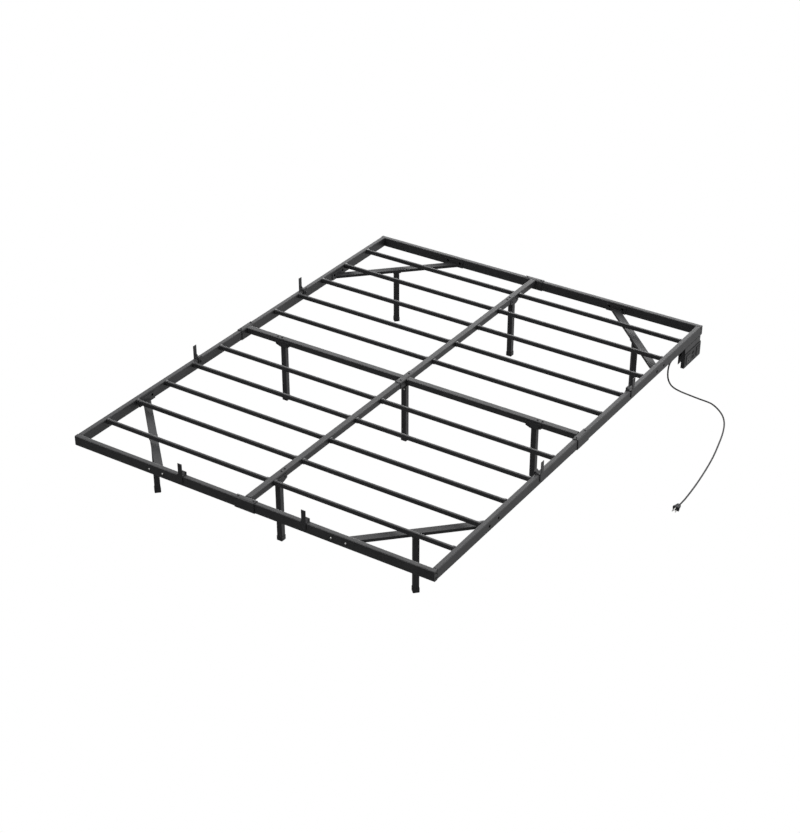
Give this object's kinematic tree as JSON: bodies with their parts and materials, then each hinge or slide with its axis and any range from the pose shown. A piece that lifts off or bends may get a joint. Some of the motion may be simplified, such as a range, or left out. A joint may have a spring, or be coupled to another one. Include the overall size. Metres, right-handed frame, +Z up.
{
  "type": "bed base",
  "caption": "Slatted tube-steel bed base on square legs, with crossing centre beams, corner braces, mattress retainers and an outlet box with its cord.",
  "frame": {"origin": "on the floor at the middle of the frame, under the middle leg", "axes": "+Z up, +Y towards the head end, +X towards the side that carries the outlet box"},
  "size_m": [1.9053, 2.0455, 0.332],
  "materials": {
    "black_powder_coat": "satin powder coat",
    "black_plastic": "fine matt",
    "black_rubber": "matt"
  },
  "bodies": {
    "frame": {"brace_foot_left": "black_powder_coat", "brace_foot_right": "black_powder_coat", "brace_head_left": "black_powder_coat", "brace_head_right": "black_powder_coat", "centre_beam_foot": "black_powder_coat", "centre_beam_head": "black_powder_coat", "centre_hub": "black_powder_coat", "cord_plug": "black_plastic", "cord_strain_relief": "black_rubber", "cross_beam_left": "black_powder_coat", "cross_beam_right": "black_powder_coat", "foot_rail": "black_powder_coat", "foot_sleeve": "black_powder_coat", "head_rail": "black_powder_coat", "head_sleeve": "black_powder_coat", "left_rail_foot": "black_powder_coat", "left_rail_head": "black_powder_coat", "left_sleeve": "black_powder_coat", "leg_foot_centre": "black_powder_coat", "leg_foot_left": "black_powder_coat", "leg_foot_right": "black_powder_coat", "leg_head_centre": "black_powder_coat", "leg_head_left": "black_powder_coat", "leg_head_right": "black_powder_coat", "leg_mid_centre": "black_powder_coat", "leg_mid_left": "black_powder_coat", "leg_mid_right": "black_powder_coat", "outlet_box": "black_plastic", "outlet_bracket": "black_powder_coat", "power_cord": "black_rubber", "right_rail_foot": "black_powder_coat", "right_rail_head": "black_powder_coat", "right_sleeve": "black_powder_coat", "slat_left_01": "black_powder_coat", "slat_left_02": "black_powder_coat", "slat_left_03": "black_powder_coat", "slat_left_04": "black_powder_coat", "slat_left_05": "black_powder_coat", "slat_left_06": "black_powder_coat", "slat_left_07": "black_powder_coat", "slat_left_08": "black_powder_coat", "slat_left_09": "black_powder_coat", "slat_left_10": "black_powder_coat", "slat_right_01": "black_powder_coat", "slat_right_02": "black_powder_coat", "slat_right_03": "black_powder_coat", "slat_right_04": "black_powder_coat", "slat_right_05": "black_powder_coat", "slat_right_06": "black_powder_coat", "slat_right_07": "black_powder_coat", "slat_right_08": "black_powder_coat", "slat_right_09": "black_powder_coat", "slat_right_10": "black_powder_coat"},
    "retainer_foot_left": {"retainer_foot_left": "black_powder_coat"},
    "retainer_foot_right": {"retainer_foot_right": "black_powder_coat"},
    "retainer_left_foot": {"retainer_left_foot": "black_powder_coat"},
    "retainer_left_head": {"retainer_left_head": "black_powder_coat"},
    "retainer_right_foot": {"retainer_right_foot": "black_powder_coat"},
    "retainer_right_head": {"retainer_right_head": "black_powder_coat"}
  },
  "joints": [
    {"name": "retainer_foot_left_slide", "type": "slide", "parent": "frame", "child": "retainer_foot_left", "axis": [1, 0, 0], "range_m": [-0.045, 0.2]},
    {"name": "retainer_foot_right_slide", "type": "slide", "parent": "frame", "child": "retainer_foot_right", "axis": [1, 0, 0], "range_m": [-0.175, 0.075]},
    {"name": "retainer_left_foot_slide", "type": "slide", "parent": "frame", "child": "retainer_left_foot", "axis": [0, 1, 0], "range_m": [-0.015, 0.1]},
    {"name": "retainer_left_head_slide", "type": "slide", "parent": "frame", "child": "retainer_left_head", "axis": [0, 1, 0], "range_m": [-0.015, 0.1]},
    {"name": "retainer_right_foot_slide", "type": "slide", "parent": "frame", "child": "retainer_right_foot", "axis": [0, 1, 0], "range_m": [-0.015, 0.1]},
    {"name": "retainer_right_head_slide", "type": "slide", "parent": "frame", "child": "retainer_right_head", "axis": [0, 1, 0], "range_m": [-0.015, 0.1]}
  ]
}
